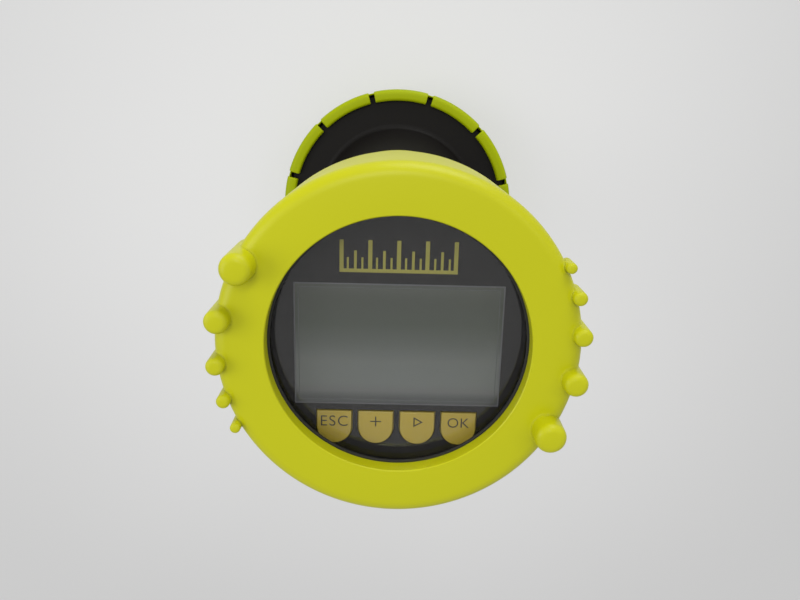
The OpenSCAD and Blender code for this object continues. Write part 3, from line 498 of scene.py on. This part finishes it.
print("solids with a finish:", dressed, "of", len(nodes))

# %% [markdown]
# ## Workshop helpers
# Round parts are easiest to read as a lathe would cut them: an outline beside the axis,
# turned once round it. A single vertex is pulled along the outline, its corners are
# rounded while it is still a wire, and the wire is spun. Starting from a cylinder and
# cutting it away would need more steps and leave uneven facets. The helpers below do
# this, and they copy, join and dress what was made.


# %% Selecting by a test, and facing outwards
TOLERANCE, WIRE_WELD, MESH_WELD = 0.005 * MM, 0.001 * MM, 0.002 * MM
ROUND_STEPS = 7


def pick(piece, kind, test):
    """In edit mode, select only the elements whose vertices all pass the test."""
    bpy.ops.mesh.select_all(action="DESELECT")
    bpy.ops.mesh.select_mode(type=kind)
    shape = bmesh.from_edit_mesh(piece.data)
    found = {"VERT": shape.verts, "EDGE": shape.edges, "FACE": shape.faces}[kind]
    for element in found:
        corners = [element] if kind == "VERT" else element.verts
        element.select_set(all(test(corner.co) for corner in corners))
    bmesh.update_edit_mesh(piece.data)


def near(value, target):
    """Whether two lengths agree within the workshop's tolerance."""
    return abs(value - target) < TOLERANCE


def leave_facing_out():
    """Turn all faces of the piece in edit mode outwards, and leave edit mode."""
    bpy.ops.mesh.select_all(action="SELECT")
    bpy.ops.mesh.normals_make_consistent(inside=False)
    bpy.ops.object.mode_set(mode="OBJECT")


# %% Wire and turned solid
def wire(name, corners):
    """A closed wire through (radius, height) corners in millimetres, in edit mode."""
    bpy.ops.object.select_all(action="DESELECT")
    bpy.ops.mesh.primitive_plane_add(size=MM)
    piece = bpy.context.active_object
    piece.name = name
    bpy.ops.object.mode_set(mode="EDIT")
    bpy.ops.mesh.select_mode(type="VERT")
    bpy.ops.mesh.select_all(action="SELECT")
    bpy.ops.mesh.merge(type="CENTER")
    here = Vector((corners[0][0], 0, corners[0][1])) * MM
    bpy.ops.transform.translate(value=here)
    for radius, height in corners[1:] + corners[:1]:
        there = Vector((radius, 0, height)) * MM
        bpy.ops.mesh.extrude_region_move(TRANSFORM_OT_translate={"value": there - here})
        here = there
    bpy.ops.mesh.select_all(action="SELECT")
    bpy.ops.mesh.remove_doubles(threshold=WIRE_WELD)
    return piece


def turned(name, outline, steps=144, sweep=360.0):
    """Spin an outline of (radius, height, corner rounding) in millimetres round Z."""
    piece = wire(name, [(radius, height) for radius, height, _ in outline])
    for radius, height, rounding in outline:
        if rounding:
            pick(piece, "VERT", lambda co: near(co.x, radius * MM) and near(co.z, height * MM))
            bpy.ops.mesh.bevel(offset=rounding * MM, segments=ROUND_STEPS, affect="VERTICES")
    bpy.ops.mesh.select_all(action="SELECT")
    bpy.ops.mesh.spin(steps=steps, angle=math.radians(sweep), center=(0, 0, 0), axis=(0, 0, 1))
    bpy.ops.mesh.select_all(action="SELECT")
    bpy.ops.mesh.remove_doubles(threshold=MESH_WELD)
    if sweep < 360:
        bpy.ops.mesh.select_all(action="SELECT")
        bpy.ops.mesh.fill_holes(sides=0)
    leave_facing_out()
    return piece


# %% Straight-sided slab, copies about the axis, joining and dressing
def slab(name, low, high):
    """A block from its lowest to its highest corner, both in millimetres."""
    bpy.ops.object.select_all(action="DESELECT")
    size = [top - foot for foot, top in zip(low, high)]
    middle = [(foot + top) / 2 * MM for foot, top in zip(low, high)]
    bpy.ops.mesh.primitive_cube_add(size=MM, location=middle, scale=size)
    bpy.ops.object.transform_apply(location=True, rotation=True, scale=True)
    piece = bpy.context.active_object
    piece.name = name
    return piece


def turned_copy(piece, degrees):
    """A copy with its own mesh, turned about the Z axis."""
    bpy.ops.object.select_all(action="DESELECT")
    twin = piece.copy()
    twin.data = piece.data.copy()
    bpy.context.scene.collection.objects.link(twin)
    twin.rotation_euler.z = math.radians(degrees)
    twin.select_set(True)
    bpy.context.view_layer.objects.active = twin
    bpy.ops.object.transform_apply(location=True, rotation=True, scale=True)
    return twin


def joined(pieces):
    """One object from several, named after the first."""
    bpy.ops.object.select_all(action="DESELECT")
    for piece in pieces:
        piece.select_set(True)
    bpy.context.view_layer.objects.active = pieces[0]
    bpy.ops.object.join()
    return pieces[0]


def dress(piece, paint, body, node=None, angle=32):
    """Smooth a piece, give it its finish and body, and let it stand in for a solid."""
    bpy.ops.object.select_all(action="DESELECT")
    piece.select_set(True)
    bpy.context.view_layer.objects.active = piece
    bpy.ops.object.shade_smooth_by_angle(angle=math.radians(angle))
    piece.data.materials.clear()
    piece.data.materials.append(paint)
    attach(piece, body)
    if node:
        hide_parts(node)
    print(piece.name, "faces:", len(piece.data.polygons))


# %% [markdown]
# ## Lid
# The lid is one moulding that turns on the housing's thread. It could be built as a plain
# ring with a seat and a bore cut into it, but cuts have to line up. As one outline, the
# outer wall, the soft upper edge, the bore under the face, the window's seat and the
# wall for the thread stay one solid.

# %% Lid ring
LID_OUT, LID_LOW, LID_FACE = 39.5, 221.8, face_z / MM
FOOT_ROUND, FACE_ROUND = 1.2, 3.0
WINDOW_R, WINDOW_EDGE = 28.5, 0.2
SEAT_BORE, SEAT_Z = 34.45, LID_FACE - WINDOW_DEPTH
LID_BORE, LEDGE_Z, RUN_OUT, MOUTH = 36.2, 244.3, 1.2, 0.15
THREAD_DEEP, LID_PITCH = 0.65, 4.0
lid = turned("lid_turned", [
    (LID_BORE + THREAD_DEEP + MOUTH, LID_LOW, 0), (LID_OUT, LID_LOW, FOOT_ROUND),
    (LID_OUT, LID_FACE, FACE_ROUND), (WINDOW_R + WINDOW_EDGE, LID_FACE, 0),
    (WINDOW_R, LID_FACE - WINDOW_EDGE, 0), (WINDOW_R, SEAT_Z, 0), (SEAT_BORE, SEAT_Z, 0),
    (SEAT_BORE, LEDGE_Z, 0), (LID_BORE, LEDGE_Z, 0), (LID_BORE, LEDGE_Z - RUN_OUT, 0),
    (LID_BORE + THREAD_DEEP, LEDGE_Z - RUN_OUT - THREAD_DEEP, 0),
    (LID_BORE + THREAD_DEEP, LID_LOW + MOUTH, 0),
], steps=192)
print("lid outline turned:", len(lid.data.vertices), "vertices")

# %% [markdown]
# ## Grip nubs
# Two rows of five nubs give the hand a grip, and each is a fixed share smaller than the
# one before. A nub could be a bead set on the rim, but the real one runs down the wall.
# So each is a turned pin that widens a little downwards, with a rounded top edge and a
# domed foot. A boolean merges the rows into the lid, because pins that only touch the
# wall would be loose shells. Their soft roots come from the finish's rounded normals.

# %% Row of nubs, its twin and the union
NUBS, FIRST_ANGLE, FIRST_STEP, STEP_SHARE = 5, 151.8, 19, 0.8
NUB_R, R_SHARE, NUB_PROUD = 3.6, 0.76, 1.5
NUB_RISE, RISE_SHARE, NUB_DROP, DROP_SHARE = 5.5, 0.66, 14, 0.8
FOOT_WIDE, TOP_WIDE, DOME, TOP_ROUND, CROWN = 1.02, 0.94, 0.95, 0.42, 0.02
nubs = []
for index in range(NUBS):
    radius = NUB_R * R_SHARE ** index
    turn = FIRST_STEP * (1 - STEP_SHARE ** index) / (1 - STEP_SHARE)
    angle = math.radians(FIRST_ANGLE + turn)
    top = LID_FACE + NUB_RISE * RISE_SHARE ** index
    low = LID_FACE - NUB_DROP * DROP_SHARE ** index
    nub = turned(f"nub_{index}", [
        (0, low, 0), (FOOT_WIDE * radius, low, DOME * radius),
        (TOP_WIDE * radius, top, TOP_ROUND * radius), (0, top + CROWN * radius, 0),
    ], steps=48)
    reach = (LID_OUT + NUB_PROUD - radius) * MM
    bpy.ops.object.mode_set(mode="EDIT")
    bpy.ops.mesh.select_all(action="SELECT")
    bpy.ops.transform.translate(value=(reach * math.cos(angle), reach * math.sin(angle), 0))
    bpy.ops.object.mode_set(mode="OBJECT")
    nubs.append(nub)
row = joined(nubs)
row = joined([row, turned_copy(row, 180)])
union = lid.modifiers.new("nubs", "BOOLEAN")
union.operation = "UNION"
union.solver = "EXACT"
union.object = row
bpy.ops.object.select_all(action="DESELECT")
bpy.context.view_layer.objects.active = lid
bpy.ops.object.modifier_apply(modifier="nubs")
bpy.data.objects.remove(row)
print("lid with nubs:", len(lid.data.vertices), "vertices")

# %% [markdown]
# ## Threads
# A thread is a small section carried round and up at once. The screw modifier does that
# in one step from a four-cornered wire. Rings stacked at the pitch would look much the
# same from the side, but they have no lead and could never be screwed.


# %% Helical ridge
CREST_STARTS, CREST_ENDS, RIDGE_ENDS = 0.32, 0.52, 0.84
THREAD_STEPS, ROOT_SUNK = 96, 0.1


def coil(name, root, crest, pitch, low, turns):
    """A helical ridge from its root radius to its crest radius, in millimetres."""
    piece = wire(name, [(root, low), (crest, low + CREST_STARTS * pitch),
                        (crest, low + CREST_ENDS * pitch), (root, low + RIDGE_ENDS * pitch)])
    bpy.ops.object.mode_set(mode="OBJECT")
    screw = piece.modifiers.new("lead", "SCREW")
    screw.axis = "Z"
    screw.screw_offset = pitch * MM
    screw.iterations = turns
    screw.steps = THREAD_STEPS
    screw.render_steps = THREAD_STEPS
    screw.use_smooth_shade = False
    bpy.ops.object.modifier_apply(modifier="lead")
    bpy.ops.object.mode_set(mode="EDIT")
    bpy.ops.mesh.select_all(action="SELECT")
    bpy.ops.mesh.fill_holes(sides=0)
    leave_facing_out()
    return piece


# %% Lid thread
LID_THREAD_START = 0.6
lid_thread = coil("lid_thread", LID_BORE + THREAD_DEEP + ROOT_SUNK, LID_BORE, LID_PITCH,
                  LID_LOW + LID_THREAD_START, 4)
lid = joined([lid, lid_thread])
dress(lid, lid_plastic, "lid", "lid_ring")

# %% [markdown]
# ## Threads on the measured solids
# The housing, the gland and the blind plug are copies of the measured solids, because
# their bosses, flats and slots are already right. Only the plain round wall that should
# be threaded changes. The copy is laid with that wall's axis on Z, the wall is drawn in
# to the thread's root, and a ridge with the measured radius as its crest stands on it.


# %% Threaded copy
SLACK = 0.01 * MM


def threaded(name, node, body, paint, lay, wall, low, high, pitch, ridge_low, turns, deep):
    """A copy of a solid with a thread on its round wall; lengths in millimetres."""
    bpy.ops.object.select_all(action="DESELECT")
    piece = nodes[node].copy()
    piece.data = nodes[node].data.copy()
    piece.name = name
    piece.parent = None
    bpy.context.scene.collection.objects.link(piece)
    piece.data.transform(lay.inverted())
    piece.select_set(True)
    bpy.context.view_layer.objects.active = piece
    bpy.ops.object.mode_set(mode="EDIT")
    bpy.ops.mesh.select_all(action="SELECT")
    bpy.ops.mesh.customdata_custom_splitnormals_clear()
    bpy.ops.mesh.remove_doubles(threshold=MESH_WELD)
    pick(piece, "VERT", lambda co: near(math.hypot(co.x, co.y), wall * MM)
         and low * MM - SLACK < co.z < high * MM + SLACK)
    drawn = sum(vert.select for vert in bmesh.from_edit_mesh(piece.data).verts)
    inward = (wall - deep) / wall
    bpy.ops.transform.resize(value=(inward, inward, 1), center_override=(0, 0, 0))
    bpy.ops.object.mode_set(mode="OBJECT")
    ridge = coil(name + "_ridge", wall - deep - ROOT_SUNK, wall, pitch, ridge_low, turns)
    piece = joined([piece, ridge])
    piece.data.transform(lay)
    print(name, "vertices drawn in:", drawn)
    dress(piece, paint, body, node)


# %% Housing, gland body and blind plug
UPRIGHT = Matrix.Identity(4)
ENTRY = Matrix.Translation((0, 0, entry_z))
GLAND_LAY = ENTRY @ Matrix.Rotation(math.radians(90), 4, "X")
PLUG_LAY = ENTRY @ Matrix.Rotation(math.radians(90), 4, "Y")
threaded("housing_threaded", "housing_body", "housing", housing_plastic, UPRIGHT,
         wall=35.9, low=221.2, high=242.3, pitch=LID_PITCH, ridge_low=225.8, turns=3,
         deep=THREAD_DEEP)
threaded("gland_threaded", "gland_body", "housing", gland_plastic, GLAND_LAY,
         wall=9.5, low=48.0, high=56.5, pitch=1.5, ridge_low=48.8, turns=4, deep=0.6)
threaded("plug_threaded", "blind_plug", "plug", gland_plastic, PLUG_LAY,
         wall=9.6, low=33.8, high=41.8, pitch=1.5, ridge_low=34.8, turns=3, deep=0.6)

# %% [markdown]
# ## Protective cap
# The cap clips over the horn's collar with a springy lip of twelve tongues. The bowl and
# its thin skirt are turned in one piece. One tongue is swept through a little less than a
# twelfth of a turn, its ends are closed and bevelled, and its copies complete the ring.
# Cutting slits into a whole ring would leave sharp corners that a moulded tongue does
# not have.

# %% Bowl with its thin skirt
bowl = turned("cap_bowl", [
    (0, 0, 0), (49.5, 0, 3.0), (49.5, 19.05, 0.4), (57.65, 19.05, 0), (57.65, 33.5, 0.25),
    (57.05, 33.5, 0.25), (57.05, 31, 0), (56.8, 31, 0), (56.8, 21, 0), (47.5, 21, 0),
    (47.5, 3, 0), (46.5, 2, 0), (0, 2, 0),
], steps=144)
print("bowl:", len(bowl.data.polygons), "faces")

# %% One tongue, bevelled, and its copies
TONGUES, SLIT_START, SLIT_SWEEP = 12, 14.4, 2.81
TONGUE_STEP = 360 / TONGUES
END_ROUND, END_STEPS, SAME_ANGLE = 1.1, 5, 1e-4
tongue = turned("cap_tongues", [
    (57.2, 19, 0), (58.3, 19, 0.6), (58.3, 34.4, 2.3), (52.8, 34.4, 1.3), (52.8, 31, 0),
    (57.2, 31, 0),
], steps=14, sweep=TONGUE_STEP - SLIT_SWEEP)
bpy.ops.object.select_all(action="DESELECT")
bpy.context.view_layer.objects.active = tongue
bpy.ops.object.mode_set(mode="EDIT")
for end in (0.0, math.radians(TONGUE_STEP - SLIT_SWEEP)):
    pick(tongue, "EDGE", lambda co: abs(abs(math.atan2(co.y, co.x)) - end) < SAME_ANGLE)
    bpy.ops.mesh.bevel(offset=END_ROUND * MM, segments=END_STEPS, affect="EDGES",
                       clamp_overlap=True)
bpy.ops.object.mode_set(mode="OBJECT")
middle = sum((Vector(corner) for corner in tongue.bound_box), Vector()) / 8
slit_side = SLIT_SWEEP / 2 if middle.y > 0 else TONGUE_STEP - SLIT_SWEEP / 2
tongues = [turned_copy(tongue, SLIT_START + slit_side + TONGUE_STEP * index)
           for index in range(TONGUES)]
bpy.data.objects.remove(tongue)
cap = joined([bowl] + tongues)
cap.name = "cap_moulded"
dress(cap, cap_plastic, "antenna", "protective_cap", angle=40)

# %% [markdown]
# ## Gold scale
# A graduated gold scale decorates the foil above the screen. Print has almost no height,
# and an image texture could carry it, but real shapes stay crisp at every distance. So
# the bar and its ticks are slabs three hundredths of a millimetre thick, sunk a little
# into the foil so that no gap shows.

# %% Gold scale
FOIL_Z, PRINT, SINK = display_z / MM, 0.03, 0.01
SCALE_LEFT, SCALE_RIGHT, SCALE_LOW, BAR_TALL = -13.1, 12.5, 15.0, 0.8
TICKS, LONG_TICK, MIDDLE_TICK, SHORT_TICK = 16, (7.1, 0.9), (4.8, 0.6), (3.3, 0.45)
scale_parts = [slab("gold_scale", (SCALE_LEFT, SCALE_LOW, FOIL_Z - SINK),
                    (SCALE_RIGHT, SCALE_LOW + BAR_TALL, FOIL_Z + PRINT))]
for index in range(TICKS + 1):
    tall, wide = LONG_TICK if index % 4 == 0 else MIDDLE_TICK if index % 2 == 0 else SHORT_TICK
    left = SCALE_LEFT + (SCALE_RIGHT - SCALE_LEFT - wide) * index / TICKS
    scale_parts.append(slab(f"tick_{index}", (left, SCALE_LOW + BAR_TALL, FOIL_Z - SINK),
                            (left + wide, SCALE_LOW + tall, FOIL_Z + PRINT)))
dress(joined(scale_parts), gold_print, "display")

# %% [markdown]
# ## Lines round the screen
# A thin bright line marks the screen's polished edge, and a fainter one a little way in
# marks the rim of the crystal. Four slabs could make each line, but their ends would
# overlap at the corners. A plane that is inset, emptied and raised has clean mitres.

# %% Lines round the screen
SCREEN_WIDE, SCREEN_TALL, SCREEN_DROP = 46.3, 28.3, 1.6
GLASS_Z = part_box("screen_glass")[1].z / MM


def raise_outline(stroke):
    """Leave only the rim of the flat face in edit mode, and raise it to a print."""
    bpy.ops.mesh.inset(thickness=stroke * MM, depth=0)
    bpy.ops.mesh.delete(type="FACE")
    bpy.ops.mesh.select_all(action="SELECT")
    rise = (0, 0, (PRINT + SINK) * MM)
    bpy.ops.mesh.extrude_region_move(TRANSFORM_OT_translate={"value": rise})
    leave_facing_out()


def screen_line(name, inset, stroke, base, paint):
    """A thin raised line round the screen, inset from its edge, in millimetres."""
    bpy.ops.object.select_all(action="DESELECT")
    bpy.ops.mesh.primitive_plane_add(size=MM)
    line = bpy.context.active_object
    line.name = name
    bpy.ops.object.mode_set(mode="EDIT")
    bpy.ops.mesh.select_mode(type="FACE")
    bpy.ops.mesh.select_all(action="SELECT")
    bpy.ops.transform.resize(value=(SCREEN_WIDE - 2 * inset, SCREEN_TALL - 2 * inset, 1))
    bpy.ops.transform.translate(value=(0, -SCREEN_DROP * MM, (base - SINK) * MM))
    raise_outline(stroke)
    dress(line, paint, "display")


print("glass top", round(GLASS_Z, 3), "foil", round(FOIL_Z, 3))
screen_line("screen_frame", 0, 0.3, FOIL_Z, edge_light)
screen_line("screen_inner_line", 0.95, 0.15, GLASS_Z, edge_faint)

# %% [markdown]
# ## Key legends
# Each key carries a thin printed sign that says what it does. Letters could be drawn from
# slabs, but the built-in font has the right curves: it is thinned by a negative offset
# and made into a mesh before it is placed. The plus is two slabs, and the arrow is a
# triangle with its middle taken out, raised as the lines round the screen were.

# %% Letters
KEY_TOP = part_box("plus_key")[1].z / MM
LEGEND_Y, LETTER_SHARE, THINNED = -19.85, 0.7, 0.008


def key_middle(key):
    """The place of a key's middle from left to right, in metres."""
    low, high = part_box(key)
    return (low.x + high.x) / 2


def letters(name, words, key, height, spread):
    """A word as a thin mesh on top of a key."""
    bpy.ops.object.select_all(action="DESELECT")
    bpy.ops.object.text_add()
    word = bpy.context.active_object
    word.name = name
    word.data.body = words
    word.data.size = height * MM / LETTER_SHARE
    word.data.offset = -THINNED * height * MM
    word.data.space_character = spread
    word.data.extrude = PRINT * MM
    word.data.align_x = "CENTER"
    word.data.align_y = "CENTER"
    bpy.ops.object.convert(target="MESH")
    word = bpy.context.active_object
    across = [vertex.co.x for vertex in word.data.vertices]
    along = [vertex.co.y for vertex in word.data.vertices]
    word.location = (key_middle(key) - (min(across) + max(across)) / 2,
                     LEGEND_Y * MM - (min(along) + max(along)) / 2, KEY_TOP * MM)
    bpy.ops.object.transform_apply(location=True, rotation=True, scale=True)
    dress(word, dark_print, key)


letters("esc_letters", "ESC", "esc_key", 2.6, 1.12)
letters("ok_letters", "OK", "ok_key", 2.4, 1.05)

# %% Plus and arrow
STROKE, HALF_WIDE, HALF_TALL, POST_PROUD = 0.28, 1.25, 1.2, 0.005
ARROW_R, ARROW_SHIFT = 1.45, 0.1
plus_x = key_middle("plus_key") / MM
plus_bar = slab("plus_sign", (plus_x - HALF_WIDE, LEGEND_Y - STROKE / 2, KEY_TOP - SINK),
                (plus_x + HALF_WIDE, LEGEND_Y + STROKE / 2, KEY_TOP + PRINT))
plus_post = slab("plus_post", (plus_x - STROKE / 2, LEGEND_Y - HALF_TALL, KEY_TOP - SINK),
                 (plus_x + STROKE / 2, LEGEND_Y + HALF_TALL, KEY_TOP + PRINT + POST_PROUD))
dress(joined([plus_bar, plus_post]), dark_print, "plus_key")
bpy.ops.object.select_all(action="DESELECT")
bpy.ops.mesh.primitive_circle_add(
    vertices=3, radius=ARROW_R * MM, fill_type="NGON", rotation=(0, 0, -math.pi / 2),
    location=(key_middle("arrow_key") - ARROW_SHIFT * MM, LEGEND_Y * MM, (KEY_TOP - SINK) * MM))
arrow = bpy.context.active_object
arrow.name = "arrow_sign"
bpy.ops.object.transform_apply(location=True, rotation=True, scale=True)
bpy.ops.object.mode_set(mode="EDIT")
bpy.ops.mesh.select_mode(type="FACE")
bpy.ops.mesh.select_all(action="SELECT")
raise_outline(STROKE)
dress(arrow, dark_print, "arrow_key")
